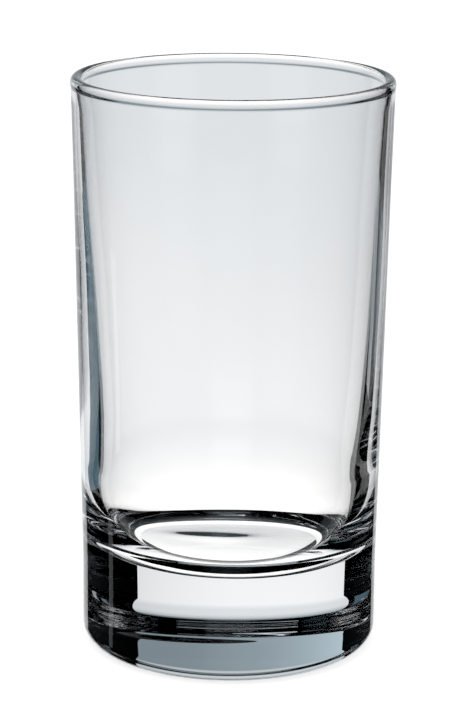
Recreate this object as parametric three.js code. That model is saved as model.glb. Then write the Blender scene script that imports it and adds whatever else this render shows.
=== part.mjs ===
// Soda glass: a slim tumbler with a heavy solid base, pressed and blown as one piece of soda-lime glass.
// Millimetres, +Z up. The origin is the middle of the plane that the glass stands on.
import * as THREE from 'three';

// Outside: a straight band at the base, then a slow taper outwards and a slight flare at the mouth
const HEIGHT = 117;
const BASE_DIAMETER = 60.2;
const BASE_BAND_HEIGHT = 18;
const TAPER_WIDENING = 1.45;
const FLARE_START_HEIGHT = 91;
const FLARE_WIDENING = 0.65;

// Lip: round on top, with a low bead inside and a lower one outside where the fire polish gathered the glass
const LIP_THICKNESS = 2.3;
const LIP_BEAD_HEIGHT = 2.45;
const LIP_BEAD_INWARD = 0.4;
const LIP_BEAD_OUTWARD = 0.1;

// Inside: the wall thickens downwards, faster towards its foot, and drops into a full, round floor corner
const WALL_UPPER_REACH = 60;
const WALL_UPPER_NARROWING = 3;
const WALL_FOOT_REACH = 3;
const WALL_ABOVE_FLOOR = 3.75;
const FLOOR_HEIGHT = 19.85;
const FLOOR_CORNER_RUN = 11.8;
const FLOOR_CORNER_RISE = 18.2;
const FLOOR_CORNER_FULLNESS = 0.766;

// Underside: a flat ring to stand on, round a shallow hollow
const BASE_CORNER_RADIUS = 4.1;
const STANDING_RING_WIDTH = 2.4;
const UNDERSIDE_HOLLOW_DEPTH = 0.2;

// Fineness of the facets
const TURN_SEGMENTS = 64;
const CURVE_DIVISIONS = 6;

const GLASS_TINT = 0xdfe6e9;
const GLASS_ROUGHNESS = 0.05;
const GLASS_OPACITY = 0.35;

const baseRadius = BASE_DIAMETER / 2;
const flareStartRadius = baseRadius + TAPER_WIDENING;
const rimRadius = flareStartRadius + FLARE_WIDENING;
const lipRadius = LIP_THICKNESS / 2;
const lipCentreHeight = HEIGHT - lipRadius;
const beadFootHeight = HEIGHT - LIP_BEAD_HEIGHT;
const beadMiddleHeight = (lipCentreHeight + beadFootHeight) / 2;

// The hollow under the base, from the axis out to the standing ring
function addUnderside(outline) {
  const ringInnerRadius = baseRadius - BASE_CORNER_RADIUS - STANDING_RING_WIDTH;
  outline.moveTo(0, UNDERSIDE_HOLLOW_DEPTH);
  outline.quadraticCurveTo(ringInnerRadius / 2, UNDERSIDE_HOLLOW_DEPTH, ringInnerRadius, 0);
}

// Standing ring, base corner, straight band, slow taper, the flare and the outer bead
function addOutside(outline) {
  const cornerCentre = baseRadius - BASE_CORNER_RADIUS;
  const taperSlope = TAPER_WIDENING / (FLARE_START_HEIGHT - BASE_BAND_HEIGHT);
  const halfFlare = (beadFootHeight - FLARE_START_HEIGHT) / 2;
  const beadFootRadius = rimRadius - LIP_BEAD_OUTWARD;
  outline.lineTo(cornerCentre, 0);
  outline.absarc(cornerCentre, BASE_CORNER_RADIUS, BASE_CORNER_RADIUS, -Math.PI / 2, 0);
  outline.lineTo(baseRadius, BASE_BAND_HEIGHT);
  outline.lineTo(flareStartRadius, FLARE_START_HEIGHT);
  outline.quadraticCurveTo(
    flareStartRadius + taperSlope * halfFlare,
    FLARE_START_HEIGHT + halfFlare,
    beadFootRadius,
    beadFootHeight,
  );
  outline.bezierCurveTo(
    beadFootRadius,
    beadMiddleHeight,
    rimRadius,
    beadMiddleHeight,
    rimRadius,
    lipCentreHeight,
  );
}

// Round lip, inner bead, inner wall, floor corner and floor, back to the axis
function addInside(outline) {
  const mouthRadius = rimRadius - LIP_THICKNESS;
  const beadFootRadius = mouthRadius + LIP_BEAD_INWARD;
  const wellRadius = baseRadius - WALL_ABOVE_FLOOR;
  const cornerTop = FLOOR_HEIGHT + FLOOR_CORNER_RISE;
  const floorRadius = wellRadius - FLOOR_CORNER_RUN;
  outline.absarc(mouthRadius + lipRadius, lipCentreHeight, lipRadius, 0, Math.PI);
  outline.bezierCurveTo(
    mouthRadius,
    beadMiddleHeight,
    beadFootRadius,
    beadMiddleHeight,
    beadFootRadius,
    beadFootHeight,
  );
  outline.bezierCurveTo(
    beadFootRadius - WALL_UPPER_NARROWING,
    beadFootHeight - WALL_UPPER_REACH,
    wellRadius,
    cornerTop + WALL_FOOT_REACH,
    wellRadius,
    cornerTop,
  );
  outline.bezierCurveTo(
    wellRadius,
    cornerTop - FLOOR_CORNER_RISE * FLOOR_CORNER_FULLNESS,
    floorRadius + FLOOR_CORNER_RUN * FLOOR_CORNER_FULLNESS,
    FLOOR_HEIGHT,
    floorRadius,
    FLOOR_HEIGHT,
  );
  outline.lineTo(0, FLOOR_HEIGHT);
}

function tumblerGeometry() {
  const outline = new THREE.Path();
  addUnderside(outline);
  addOutside(outline);
  addInside(outline);
  const geometry = new THREE.LatheGeometry(outline.getPoints(CURVE_DIVISIONS), TURN_SEGMENTS);
  geometry.rotateX(Math.PI / 2);
  return geometry;
}

const glass = new THREE.MeshStandardMaterial({
  color: GLASS_TINT,
  roughness: GLASS_ROUGHNESS,
  metalness: 0,
  transparent: true,
  opacity: GLASS_OPACITY,
});

const tumbler = new THREE.Mesh(tumblerGeometry(), glass);
tumbler.name = 'tumbler';

const sodaGlass = new THREE.Group();
sodaGlass.add(tumbler);

export default sodaGlass;
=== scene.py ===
import math
import bpy
from mathutils import Matrix, Vector, noise


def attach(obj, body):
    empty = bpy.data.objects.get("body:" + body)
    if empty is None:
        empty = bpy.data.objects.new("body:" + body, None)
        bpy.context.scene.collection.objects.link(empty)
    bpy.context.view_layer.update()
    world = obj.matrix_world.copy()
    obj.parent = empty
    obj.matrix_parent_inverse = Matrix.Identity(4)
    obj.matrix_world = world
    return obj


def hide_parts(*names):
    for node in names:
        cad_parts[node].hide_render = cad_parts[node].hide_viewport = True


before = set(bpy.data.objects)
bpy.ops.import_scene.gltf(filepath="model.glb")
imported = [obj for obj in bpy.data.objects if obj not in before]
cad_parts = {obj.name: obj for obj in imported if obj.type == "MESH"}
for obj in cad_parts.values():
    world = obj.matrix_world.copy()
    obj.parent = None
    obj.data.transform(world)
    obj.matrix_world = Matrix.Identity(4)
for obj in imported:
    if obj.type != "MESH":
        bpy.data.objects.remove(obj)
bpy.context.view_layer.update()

MM = 0.001

# The tumbler's driving sizes, in metres
HEIGHT = 117 * MM
BASE_RADIUS = 30.1 * MM
BASE_BAND_HEIGHT = 18 * MM
TAPER_WIDENING = 1.45 * MM
FLARE_START_HEIGHT = 91 * MM
FLARE_WIDENING = 0.65 * MM
LIP_THICKNESS = 2.3 * MM
LIP_BEAD_HEIGHT = 2.45 * MM
LIP_BEAD_OUTWARD = 0.1 * MM
LIP_BEAD_INWARD = 0.4 * MM
WALL_ABOVE_FLOOR = 3.75 * MM
WALL_UPPER_REACH = 60 * MM
WALL_UPPER_NARROWING = 3.0 * MM
WALL_FOOT_REACH = 3 * MM
FLOOR_HEIGHT = 19.85 * MM
FLOOR_CORNER_RUN = 11.8 * MM
FLOOR_CORNER_RISE = 18.2 * MM
FLOOR_CORNER_POWER = 2.9
BASE_CORNER_RADIUS = 4.1 * MM
STANDING_RING_WIDTH = 2.4 * MM
UNDERSIDE_HOLLOW_DEPTH = 0.2 * MM

FLARE_START_RADIUS = BASE_RADIUS + TAPER_WIDENING
RIM_RADIUS = FLARE_START_RADIUS + FLARE_WIDENING

# How the mould left it: the floor leans and sits to the left, the belly of the cup sits to the right
# and the wall wavers; the belly fades in and out between heights, and the others fade out
FLOOR_LEAN = math.radians(1.1)
FLOOR_SHIFT = -0.3 * MM
FLOOR_FADE = (FLOOR_HEIGHT + FLOOR_CORNER_RISE / 2, HEIGHT / 2)
BELLY_SHIFT = 0.25 * MM
BELLY_FADE_LOW = (HEIGHT * 0.26, HEIGHT * 0.43)
BELLY_FADE_HIGH = (HEIGHT * 0.55, HEIGHT * 0.84)
WAVER_DEPTH = 0.008 * MM
WAVER_LENGTH = 16 * MM
WAVER_FADE = (HEIGHT * 0.8, HEIGHT)

# Shear mark under the base: a shallow dent, left of the middle and behind it
DENT_DEPTH = 0.45 * MM
DENT_WIDTH = 9.0 * MM
DENT_LENGTH = 3.4 * MM
DENT_ACROSS = -3.9 * MM
DENT_BEHIND = 12.8 * MM

# Fineness of the mesh: segments round the axis, and steps along each stretch of the outline
TURN_SEGMENTS = 300
UNDERSIDE_STEPS = 40
STANDING_RING_STEPS = 4
BASE_CORNER_STEPS = 64
STRAIGHT_STEPS = 8
FLARE_STEPS = 32
BEAD_STEPS = 10
LIP_STEPS = 24
WALL_STEPS = 64
FLOOR_CORNER_STEPS = 48
FLOOR_STEPS = 12

# The camera that took the photograph: where it stands, how it looks down and its focal length in pixels
PHOTO_HEIGHT = 720
CAMERA_DISTANCE = 538.2 * MM
CAMERA_HEIGHT = 197.9 * MM
CAMERA_PITCH = math.radians(14.48)
CAMERA_YAW = math.radians(-0.05)
CAMERA_ROLL = math.radians(0.50)
CAMERA_NEAR = 0.01
CAMERA_FAR = 20
FOCAL_PIXELS = 2742
SENSOR_MM = 36.0
PHOTO_AZIMUTH = math.radians(225)

# Glass: how it bends light, its dimmed mirror, the tint of its depth, and smudges left by hands and cloths
GLASS_IOR = 1.565
GLASS_MIRROR = (0.18, 0.20, 0.22, 1.0)
ABSORPTION_COLOUR = (0.0, 0.10, 0.18, 1.0)
ABSORPTION_DENSITY = 1.0
SMUDGE_DETAIL = 5
SMUDGE_START = 0.5
SMUDGE_FULL = 0.8
ROUGH_SMUDGE_SCALE = 55
ROUGH_SMUDGE_MOST = 0.006
HAZE_SCALE = 90
HAZE_MOST = 1.0
HAZE_COLOUR = (0.99, 0.992, 0.993, 1.0)

# Studio: paper that lies below and behind the glass and rises at the back, with a grey cloth above it; both
# glow with painted light
PAPER_DEPTH = 3.0
PAPER_DROP = 1.5
PAPER_FRONT = 0.62 * PAPER_DROP
PAPER_LEFT = PAPER_DEPTH * math.tan(math.radians(-55))
PAPER_RIGHT = PAPER_DEPTH * math.tan(math.radians(45))
PAPER_TOP = PAPER_DEPTH * math.tan(math.radians(15.5))
# Painted light on the paper's glow: it leans brighter to the left and falls off towards its sides
PAPER_LEAN = 0.16
PAPER_FALL_OFF = 0.28
HEADER_TOP = PAPER_DEPTH * math.tan(math.radians(31))
# The header's grey glow and its lean to the left are painted light
HEADER_GREY = (0.248, 0.306, 0.341)
HEADER_LEAN = 0.74
HEADER_SIDE_GAIN = 1.0

# Brightness and tint of the paper by the slope at which it is seen from the glass, steepest view first
PAPER_TONES = [
    (-1.20, (1.22, 1.22, 1.22)),
    (-0.70, (1.17, 1.17, 1.17)),
    (-0.53, (1.08, 1.08, 1.08)),
    (-0.40, (0.985, 0.99, 0.997)),
    (-0.34, (0.95, 0.962, 0.972)),
    (-0.30, (0.91, 0.925, 0.938)),
    (-0.23, (0.83, 0.855, 0.87)),
    (-0.17, (0.765, 0.795, 0.82)),
    (-0.05, (0.76, 0.79, 0.815)),
    (0.03, (0.75, 0.78, 0.805)),
    (0.11, (0.64, 0.67, 0.69)),
    (0.28, (0.47, 0.50, 0.525)),
]

# Black flags that cut the paper off at both sides: depth and inner edge, and their reach by their depth
BLACK = (0.0, 0.0, 0.0)
FLAGS = [(0.20, -0.157), (0.73, 0.40)]
FLAG_REACH = 3.4
FLAG_LOW = -1.8
FLAG_HIGH = 1.4

# Small cards close beside the glass that only its walls bend light from: left, right, low, high and colour
WALL_CARD_DEPTH = 0.13
WALL_CARDS = [
    (-0.217, -0.109, -0.024, 0.048, (0.070, 0.122, 0.156)),
    (0.097, 0.115, 0.004, 0.048, (0.090, 0.125, 0.150)),
    (0.1375, 0.1655, -0.018, 0.048, (0.305, 0.337, 0.361)),
]

# Fields of paper for looking from other sides: direction, lowest and highest line of sight, colour
FIELD_WHITE = (0.92, 0.945, 0.96)
FIELD_DIM = (0.050, 0.058, 0.063)
OTHER_FIELDS = [
    (-135, -11, 6, FIELD_WHITE),
    (135, -11, 6, FIELD_WHITE),
    (180, -37, -16, FIELD_WHITE),
    (180, 17, 32, FIELD_DIM),
]
FIELD_HALF_WIDTH = math.radians(19)

# The dark tent round it all, the pale floor, the lamp that gives the floor its shadow, and the surroundings
TENT_REACH = 6.0
TABLE_REACH = 3.0
TABLE_COLOUR = (0.8, 0.8, 0.8, 1)
TABLE_WHITE = 0.8
LAMP_PLACE = Vector((-0.6, 0.9, 2.2))
LAMP_SIZE = 1.5
LAMP_WATTS = 8
AROUND_STRENGTH = 0.35
LIGHT_BOUNCES = 32


# Outline of the turned body

def elliptic_arc(centre, run, rise, start, end, steps, power=2.0):
    """Points of an elliptic arc after its first point, in degrees; a power above 2 makes it squarer."""
    points = []
    for i in range(1, steps + 1):
        angle = math.radians(start + (end - start) * i / steps)
        across = math.copysign(abs(math.cos(angle)) ** (2 / power), math.cos(angle))
        along = math.copysign(abs(math.sin(angle)) ** (2 / power), math.sin(angle))
        points.append((centre[0] + run * across, centre[1] + rise * along))
    return points


def bezier(controls, steps):
    """Points of a Bezier curve of any degree after its first point."""
    points = []
    for i in range(1, steps + 1):
        t = i / steps
        row = [Vector(c) for c in controls]
        while len(row) > 1:
            row = [a.lerp(b, t) for a, b in zip(row, row[1:])]
        points.append(tuple(row[0]))
    return points


def ogee(start, end):
    """A shallow S between two points, upright at both ends."""
    middle = (start[1] + end[1]) / 2
    return bezier([start, (start[0], middle), (end[0], middle), end], BEAD_STEPS)


def underside():
    """From the axis out over the shallow hollow to the edge of the standing ring."""
    ring_outer = BASE_RADIUS - BASE_CORNER_RADIUS
    ring_inner = ring_outer - STANDING_RING_WIDTH
    middle = (0.0, UNDERSIDE_HOLLOW_DEPTH)
    bend = (ring_inner / 2, UNDERSIDE_HOLLOW_DEPTH)
    points = [middle]
    points += bezier([middle, bend, (ring_inner, 0.0)], UNDERSIDE_STEPS)
    points += bezier([(ring_inner, 0.0), (ring_outer, 0.0)], STANDING_RING_STEPS)
    return points


def outside():
    """Base corner, straight band, slow taper, flare and the lip's bead."""
    corner = (BASE_RADIUS - BASE_CORNER_RADIUS, BASE_CORNER_RADIUS)
    band_start = (BASE_RADIUS, BASE_CORNER_RADIUS)
    band_end = (BASE_RADIUS, BASE_BAND_HEIGHT)
    taper_end = (FLARE_START_RADIUS, FLARE_START_HEIGHT)
    neck = (RIM_RADIUS - LIP_BEAD_OUTWARD, HEIGHT - LIP_BEAD_HEIGHT)
    half_flare = (neck[1] - FLARE_START_HEIGHT) / 2
    slope = TAPER_WIDENING / (FLARE_START_HEIGHT - BASE_BAND_HEIGHT)
    bend = (FLARE_START_RADIUS + slope * half_flare, FLARE_START_HEIGHT + half_flare)
    points = elliptic_arc(corner, BASE_CORNER_RADIUS, BASE_CORNER_RADIUS, -90, 0, BASE_CORNER_STEPS)
    points += bezier([band_start, band_end], STRAIGHT_STEPS)
    points += bezier([band_end, taper_end], STRAIGHT_STEPS)
    points += bezier([taper_end, bend, neck], FLARE_STEPS)
    points += ogee(neck, (RIM_RADIUS, HEIGHT - LIP_THICKNESS / 2))
    return points


def inside():
    """Round lip, bead, inner wall, floor corner and floor, back to the axis."""
    lip_radius = LIP_THICKNESS / 2
    lip = (RIM_RADIUS - lip_radius, HEIGHT - lip_radius)
    mouth = (RIM_RADIUS - LIP_THICKNESS, lip[1])
    neck = (mouth[0] + LIP_BEAD_INWARD, HEIGHT - LIP_BEAD_HEIGHT)
    well_radius = BASE_RADIUS - WALL_ABOVE_FLOOR
    corner_top = FLOOR_HEIGHT + FLOOR_CORNER_RISE
    floor_radius = well_radius - FLOOR_CORNER_RUN
    corner = (floor_radius, corner_top)
    upper = (neck[0] - WALL_UPPER_NARROWING, neck[1] - WALL_UPPER_REACH)
    foot = (well_radius, corner_top + WALL_FOOT_REACH)
    points = elliptic_arc(lip, lip_radius, lip_radius, 0, 180, LIP_STEPS)
    points += ogee(mouth, neck)
    points += bezier([neck, upper, foot, (well_radius, corner_top)], WALL_STEPS)
    points += elliptic_arc(
        corner, FLOOR_CORNER_RUN, FLOOR_CORNER_RISE, 0, -90, FLOOR_CORNER_STEPS, FLOOR_CORNER_POWER
    )
    points += bezier([(floor_radius, FLOOR_HEIGHT), (0.0, FLOOR_HEIGHT)], FLOOR_STEPS)
    return points


# Small departures from a true turned shape, in the photograph's own left, right and depth

def fade(value, start, end):
    """Smooth step from 1 at start to 0 at end."""
    share = min(max((value - start) / (end - start), 0.0), 1.0)
    return 1 - share * share * (3 - 2 * share)


def cup_point(point):
    """Lean of the floor, shift of the floor and the belly, and the waver of the wall."""
    low = fade(point.z, *FLOOR_FADE)
    belly = fade(point.z, *BELLY_FADE_HIGH) - fade(point.z, *BELLY_FADE_LOW)
    shift = FLOOR_SHIFT * low + BELLY_SHIFT * belly
    lean = -math.tan(FLOOR_LEAN) * point.x * low
    waver = noise.noise(point / WAVER_LENGTH) * WAVER_DEPTH * fade(point.z, *WAVER_FADE)
    outward = Vector((point.x, point.y, 0.0))
    if outward.length > 0:
        outward.normalize()
    return point + outward * waver + Vector((shift, 0.0, lean))


def underside_point(point):
    """The dent that the shears left in the gob."""
    across = (point.x - DENT_ACROSS) / DENT_WIDTH
    behind = (point.y - DENT_BEHIND) / DENT_LENGTH
    return point + Vector((0.0, 0.0, DENT_DEPTH * math.exp(-across ** 2 - behind ** 2)))


def plain_point(point):
    return point


def tumbler_rings():
    """Every point of the outline with the departure that its stretch has."""
    rings = [(point, underside_point) for point in underside()]
    rings += [(point, plain_point) for point in outside()]
    rings += [(point, cup_point) for point in inside()]
    return rings


def turned_mesh(name, rings):
    """A closed mesh turned from an outline that starts and ends on the axis."""
    turn = Matrix.Rotation(PHOTO_AZIMUTH, 3, "Z")
    first, first_change = rings[0]
    final, final_change = rings[-1]
    vertices = [turn @ first_change(Vector((0.0, 0.0, first[1])))]
    faces = []
    for (radius, height), change in rings[1:-1]:
        for i in range(TURN_SEGMENTS):
            angle = 2 * math.pi * i / TURN_SEGMENTS
            point = Vector((radius * math.cos(angle), radius * math.sin(angle), height))
            vertices.append(turn @ change(point))
    vertices.append(turn @ final_change(Vector((0.0, 0.0, final[1]))))
    last = len(vertices) - 1
    count = len(rings) - 2
    for i in range(TURN_SEGMENTS):
        j = (i + 1) % TURN_SEGMENTS
        faces.append((0, 1 + j, 1 + i))
        for k in range(count - 1):
            low = 1 + k * TURN_SEGMENTS
            high = low + TURN_SEGMENTS
            faces.append((low + i, low + j, high + j, high + i))
        top = 1 + (count - 1) * TURN_SEGMENTS
        faces.append((top + i, top + j, last))
    mesh = bpy.data.meshes.new(name)
    mesh.from_pydata(vertices, [], faces)
    mesh.polygons.foreach_set("use_smooth", [True] * len(mesh.polygons))
    mesh.update()
    return mesh


# Materials

def new_material(name):
    """An empty node material and its node tree."""
    material = bpy.data.materials.new(name)
    material.use_nodes = True
    material.node_tree.nodes.clear()
    return material, material.node_tree


def math_node(tree, operation, first, second):
    """One calculation with two sockets or numbers."""
    node = tree.nodes.new("ShaderNodeMath")
    node.operation = operation
    for socket, value in zip(node.inputs, (first, second)):
        if isinstance(value, (int, float)):
            socket.default_value = value
        else:
            tree.links.new(value, socket)
    return node.outputs["Value"]


def smudges(tree, scale, most):
    """Soft patches from 0 to a greatest value."""
    place = tree.nodes.new("ShaderNodeTexCoord")
    patches = tree.nodes.new("ShaderNodeTexNoise")
    patches.inputs["Scale"].default_value = scale
    patches.inputs["Detail"].default_value = SMUDGE_DETAIL
    grade = tree.nodes.new("ShaderNodeMapRange")
    grade.interpolation_type = "SMOOTHSTEP"
    grade.inputs["From Min"].default_value = SMUDGE_START
    grade.inputs["From Max"].default_value = SMUDGE_FULL
    grade.inputs["To Max"].default_value = most
    tree.links.new(place.outputs["Object"], patches.inputs["Vector"])
    tree.links.new(patches.outputs["Fac"], grade.inputs["Value"])
    return grade.outputs["Result"]


def clear_glass():
    """Clear glass, a little tinted in its depth, with faint rough and hazy smudges."""
    material, tree = new_material("clear_glass")
    output = tree.nodes.new("ShaderNodeOutputMaterial")
    shader = tree.nodes.new("ShaderNodeBsdfPrincipled")
    shader.inputs["IOR"].default_value = GLASS_IOR
    shader.inputs["Transmission Weight"].default_value = 1.0
    shader.inputs["Specular Tint"].default_value = GLASS_MIRROR
    absorb = tree.nodes.new("ShaderNodeVolumeAbsorption")
    absorb.inputs["Color"].default_value = ABSORPTION_COLOUR
    absorb.inputs["Density"].default_value = ABSORPTION_DENSITY
    haze = tree.nodes.new("ShaderNodeMix")
    haze.data_type = "RGBA"
    haze.inputs["A"].default_value = (1, 1, 1, 1)
    haze.inputs["B"].default_value = HAZE_COLOUR
    tree.links.new(smudges(tree, HAZE_SCALE, HAZE_MOST), haze.inputs["Factor"])
    tree.links.new(haze.outputs["Result"], shader.inputs["Base Color"])
    tree.links.new(smudges(tree, ROUGH_SMUDGE_SCALE, ROUGH_SMUDGE_MOST), shader.inputs["Roughness"])
    tree.links.new(shader.outputs["BSDF"], output.inputs["Surface"])
    tree.links.new(absorb.outputs["Volume"], output.inputs["Volume"])
    return material


def light_material(name, colour=(1, 1, 1)):
    """A material that only shows light, and its shader for what makes that light uneven."""
    material, tree = new_material(name)
    output = tree.nodes.new("ShaderNodeOutputMaterial")
    shader = tree.nodes.new("ShaderNodeEmission")
    shader.inputs["Color"].default_value = (*colour, 1)
    tree.links.new(shader.outputs["Emission"], output.inputs["Surface"])
    material.cycles.emission_sampling = "NONE"
    return material, shader


def glow(name, colour):
    """Even light of one colour."""
    return light_material(name, colour)[0]


def seen_from_glass(tree):
    """How far a spot lies to the side of the glass, and at what slope the glass sees it."""
    place = tree.nodes.new("ShaderNodeTexCoord")
    split = tree.nodes.new("ShaderNodeSeparateXYZ")
    tree.links.new(place.outputs["Object"], split.inputs["Vector"])
    x, y, z = split.outputs
    squares = math_node(tree, "ADD", math_node(tree, "MULTIPLY", x, x), math_node(tree, "MULTIPLY", y, y))
    reach = math_node(tree, "SQRT", squares, 0)
    sideways = math_node(tree, "DIVIDE", x, reach)
    slope = math_node(tree, "DIVIDE", z, reach)
    return sideways, slope


def leaning_strength(tree, sideways, brightest, lean, fall_off):
    """Strength that leans to the left and falls off towards both sides, or gains if that is negative."""
    leaning = math_node(tree, "MULTIPLY", sideways, -lean * brightest)
    square = math_node(tree, "MULTIPLY", sideways, sideways)
    falling = math_node(tree, "MULTIPLY", square, -fall_off * brightest)
    change = math_node(tree, "ADD", leaning, falling)
    return math_node(tree, "ADD", change, brightest)


def header_glow():
    """Grey cloth above the paper that glows by itself: painted light, lighter on the left."""
    material, shader = light_material("header_glow", HEADER_GREY)
    tree = material.node_tree
    sideways, _ = seen_from_glass(tree)
    strength = leaning_strength(tree, sideways, 1.0, HEADER_LEAN, -HEADER_SIDE_GAIN)
    tree.links.new(strength, shader.inputs["Strength"])
    return material


def lit_paper():
    """White paper that glows by itself, painted light: brightest low down, greyer and bluer upwards and a
    little darker towards its sides.
    """
    material, shader = light_material("lit_paper")
    tree = material.node_tree
    sideways, slope = seen_from_glass(tree)
    low, high = PAPER_TONES[0][0], PAPER_TONES[-1][0]
    grade = tree.nodes.new("ShaderNodeMapRange")
    grade.inputs["From Min"].default_value = low
    grade.inputs["From Max"].default_value = high
    tree.links.new(slope, grade.inputs["Value"])
    ramp = tree.nodes.new("ShaderNodeValToRGB")
    brightest = max(PAPER_TONES[0][1])
    elements = ramp.color_ramp.elements
    while len(elements) < len(PAPER_TONES):
        elements.new(1.0)
    for element, (at, tone) in zip(elements, PAPER_TONES):
        element.position = (at - low) / (high - low)
        element.color = (*(c / brightest for c in tone), 1)
    tree.links.new(grade.outputs["Result"], ramp.inputs["Fac"])
    tree.links.new(ramp.outputs["Color"], shader.inputs["Color"])
    strength = leaning_strength(tree, sideways, brightest, PAPER_LEAN, PAPER_FALL_OFF)
    tree.links.new(strength, shader.inputs["Strength"])
    return material


def soft_edged(name, colour):
    """Light of one colour that fades to nothing towards a board's two sides."""
    material, shader = light_material(name, colour)
    tree = material.node_tree
    place = tree.nodes.new("ShaderNodeTexCoord")
    split = tree.nodes.new("ShaderNodeSeparateXYZ")
    tree.links.new(place.outputs["Generated"], split.inputs["Vector"])
    from_left = split.outputs["X"]
    from_right = math_node(tree, "SUBTRACT", 1, from_left)
    arch = math_node(tree, "MULTIPLY", math_node(tree, "MULTIPLY", from_left, from_right), 4)
    flatter = math_node(tree, "MULTIPLY", arch, math_node(tree, "SUBTRACT", 2, arch))
    tree.links.new(flatter, shader.inputs["Strength"])
    return material


def seen_directly(tree):
    """1 for what is seen straight on, in a mirror or through glass, 0 for light that falls on things."""
    ray = tree.nodes.new("ShaderNodeLightPath")
    both = math_node(tree, "MAXIMUM", ray.outputs["Is Camera Ray"], ray.outputs["Is Glossy Ray"])
    return math_node(tree, "MAXIMUM", both, ray.outputs["Is Transmission Ray"])


def table_white():
    """Pale floor that shows white and keeps a soft shadow."""
    material, tree = new_material("floor")
    output = tree.nodes.new("ShaderNodeOutputMaterial")
    diffuse = tree.nodes.new("ShaderNodeBsdfDiffuse")
    diffuse.inputs["Color"].default_value = TABLE_COLOUR
    white = tree.nodes.new("ShaderNodeEmission")
    both = tree.nodes.new("ShaderNodeAddShader")
    strength = math_node(tree, "MULTIPLY", seen_directly(tree), TABLE_WHITE)
    tree.links.new(strength, white.inputs["Strength"])
    tree.links.new(diffuse.outputs["BSDF"], both.inputs[0])
    tree.links.new(white.outputs["Emission"], both.inputs[1])
    tree.links.new(both.outputs["Shader"], output.inputs["Surface"])
    return material


# The glass

def add_object(name, data):
    piece = bpy.data.objects.new(name, data)
    bpy.context.collection.objects.link(piece)
    return piece


def add_tumbler():
    piece = add_object("tumbler_glass", turned_mesh("tumbler_glass", tumbler_rings()))
    piece.data.materials.append(clear_glass())
    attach(piece, "root")
    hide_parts("tumbler")


# The studio: glass is lit against a bright field, so it alone sees the paper, the cards and a dark tent

def add_sheet(name, corners, faces, material):
    mesh = bpy.data.meshes.new(name)
    mesh.from_pydata(corners, [], faces)
    mesh.materials.append(material)
    piece = add_object(name, mesh)
    return piece


def add_unseen(name, corners, faces, material):
    """A sheet that only the glass sees, in the photograph's direction."""
    piece = add_sheet(name, corners, faces, material)
    piece.visible_camera = False
    piece.visible_diffuse = False
    piece.visible_shadow = False
    piece.rotation_euler.z = PHOTO_AZIMUTH


def add_card(name, left, right, depth, low, high, material):
    """An upright card at a depth, between two places to the side and two heights."""
    corners = [(left, depth, low), (right, depth, low), (right, depth, high), (left, depth, high)]
    add_unseen(name, corners, [(0, 1, 2, 3)], material)


def add_paper():
    rows = [(PAPER_FRONT, -PAPER_DROP), (PAPER_DEPTH, -PAPER_DROP), (PAPER_DEPTH, PAPER_TOP)]
    corners = [(x, y, z) for y, z in rows for x in (PAPER_LEFT, PAPER_RIGHT)]
    add_unseen("paper_sweep", corners, [(0, 1, 3, 2), (2, 3, 5, 4)], lit_paper())
    add_card("header", PAPER_LEFT, PAPER_RIGHT, PAPER_DEPTH, PAPER_TOP, HEADER_TOP, header_glow())


def add_flags(black):
    for depth, edge in FLAGS:
        far_edge = math.copysign(FLAG_REACH * depth, edge)
        add_card("flag", edge, far_edge, depth, FLAG_LOW * depth, FLAG_HIGH * depth, black)


def add_wall_cards():
    for left, right, low, high, colour in WALL_CARDS:
        add_card("wall_card", left, right, WALL_CARD_DEPTH, low, high, glow("wall_card", colour))


def add_other_fields():
    """Upright boards beyond the glass, each in one direction and between two lines of sight."""
    for direction, low, high, colour in OTHER_FIELDS:
        away = Vector((math.sin(math.radians(direction)), math.cos(math.radians(direction)), 0.0))
        aside = Vector((away.y, -away.x, 0.0)) * math.tan(FIELD_HALF_WIDTH)
        bottom = Vector((0.0, 0.0, math.tan(math.radians(low))))
        top = Vector((0.0, 0.0, math.tan(math.radians(high))))
        corners = [away - aside + bottom, away + aside + bottom, away + aside + top, away - aside + top]
        corners = [corner * PAPER_DEPTH for corner in corners]
        add_unseen("field", corners, [(0, 1, 2, 3)], soft_edged("field", colour))


def add_dark_tent(black):
    """Black cloth all round, behind the paper and cards."""
    ends = (-TENT_REACH, TENT_REACH)
    corners = [(x, y, z) for x in ends for y in ends for z in ends]
    faces = [(0, 1, 3, 2), (4, 6, 7, 5), (0, 4, 5, 1), (2, 3, 7, 6), (0, 2, 6, 4), (1, 5, 7, 3)]
    add_unseen("dark_tent", corners, faces, black)


def add_floor():
    """The floor that the camera sees; the glass sees the paper below it instead."""
    low, high = -TABLE_REACH, TABLE_REACH
    corners = [(low, low, 0), (high, low, 0), (high, high, 0), (low, high, 0)]
    piece = add_sheet("floor", corners, [(0, 1, 2, 3)], table_white())
    piece.visible_glossy = False
    piece.visible_transmission = False


def add_soft_lamp():
    """A broad lamp overhead that only gives the floor its soft shadow."""
    light = bpy.data.lights.new("soft_lamp", "AREA")
    light.energy = LAMP_WATTS
    light.size = LAMP_SIZE
    lamp = add_object("soft_lamp", light)
    lamp.location = LAMP_PLACE
    lamp.rotation_euler = (-LAMP_PLACE).to_track_quat("-Z", "Y").to_euler()
    lamp.visible_glossy = False
    lamp.visible_transmission = False
    lamp.visible_camera = False


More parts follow.
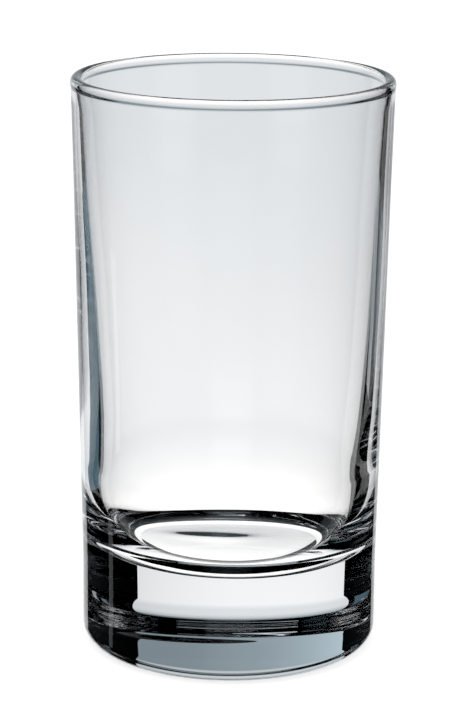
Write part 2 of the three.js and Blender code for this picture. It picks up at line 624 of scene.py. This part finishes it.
def add_world():
    """White surroundings, with a lower level for the light that falls on things."""
    world = bpy.data.worlds.new("studio")
    bpy.context.scene.world = world
    world.use_nodes = True
    tree = world.node_tree
    tree.nodes.clear()
    output = tree.nodes.new("ShaderNodeOutputWorld")
    white = tree.nodes.new("ShaderNodeBackground")
    around = tree.nodes.new("ShaderNodeBackground")
    white.inputs["Color"].default_value = (1, 1, 1, 1)
    around.inputs["Color"].default_value = (1, 1, 1, 1)
    around.inputs["Strength"].default_value = AROUND_STRENGTH
    pick = tree.nodes.new("ShaderNodeMixShader")
    tree.links.new(seen_directly(tree), pick.inputs["Fac"])
    tree.links.new(around.outputs["Background"], pick.inputs[1])
    tree.links.new(white.outputs["Background"], pick.inputs[2])
    tree.links.new(pick.outputs["Shader"], output.inputs["Surface"])


def add_camera():
    data = bpy.data.cameras.new("camera")
    data.sensor_width = SENSOR_MM
    data.lens = FOCAL_PIXELS / PHOTO_HEIGHT * SENSOR_MM
    data.clip_start = CAMERA_NEAR
    data.clip_end = CAMERA_FAR
    piece = add_object("camera", data)
    forward = Vector((
        math.sin(CAMERA_YAW) * math.cos(CAMERA_PITCH),
        math.cos(CAMERA_YAW) * math.cos(CAMERA_PITCH),
        -math.sin(CAMERA_PITCH),
    ))
    level = Vector((math.cos(CAMERA_YAW), -math.sin(CAMERA_YAW), 0))
    up = level.cross(forward)
    right = math.cos(CAMERA_ROLL) * level + math.sin(CAMERA_ROLL) * up
    top = right.cross(forward)
    turn = Matrix((right, top, -forward)).transposed().to_4x4()
    place = Matrix.Translation((0, -CAMERA_DISTANCE, CAMERA_HEIGHT)) @ turn
    piece.matrix_world = Matrix.Rotation(PHOTO_AZIMUTH, 4, "Z") @ place
    bpy.context.scene.camera = piece


def set_rendering():
    scene = bpy.context.scene
    scene.view_settings.view_transform = "Standard"
    scene.cycles.max_bounces = LIGHT_BOUNCES
    scene.cycles.transmission_bounces = LIGHT_BOUNCES
    scene.cycles.glossy_bounces = LIGHT_BOUNCES
    scene.cycles.use_denoising = True


black_cloth = glow("black_cloth", BLACK)
add_tumbler()
add_floor()
add_paper()
add_flags(black_cloth)
add_wall_cards()
add_other_fields()
add_dark_tent(black_cloth)
add_soft_lamp()
add_world()
add_camera()
set_rendering()
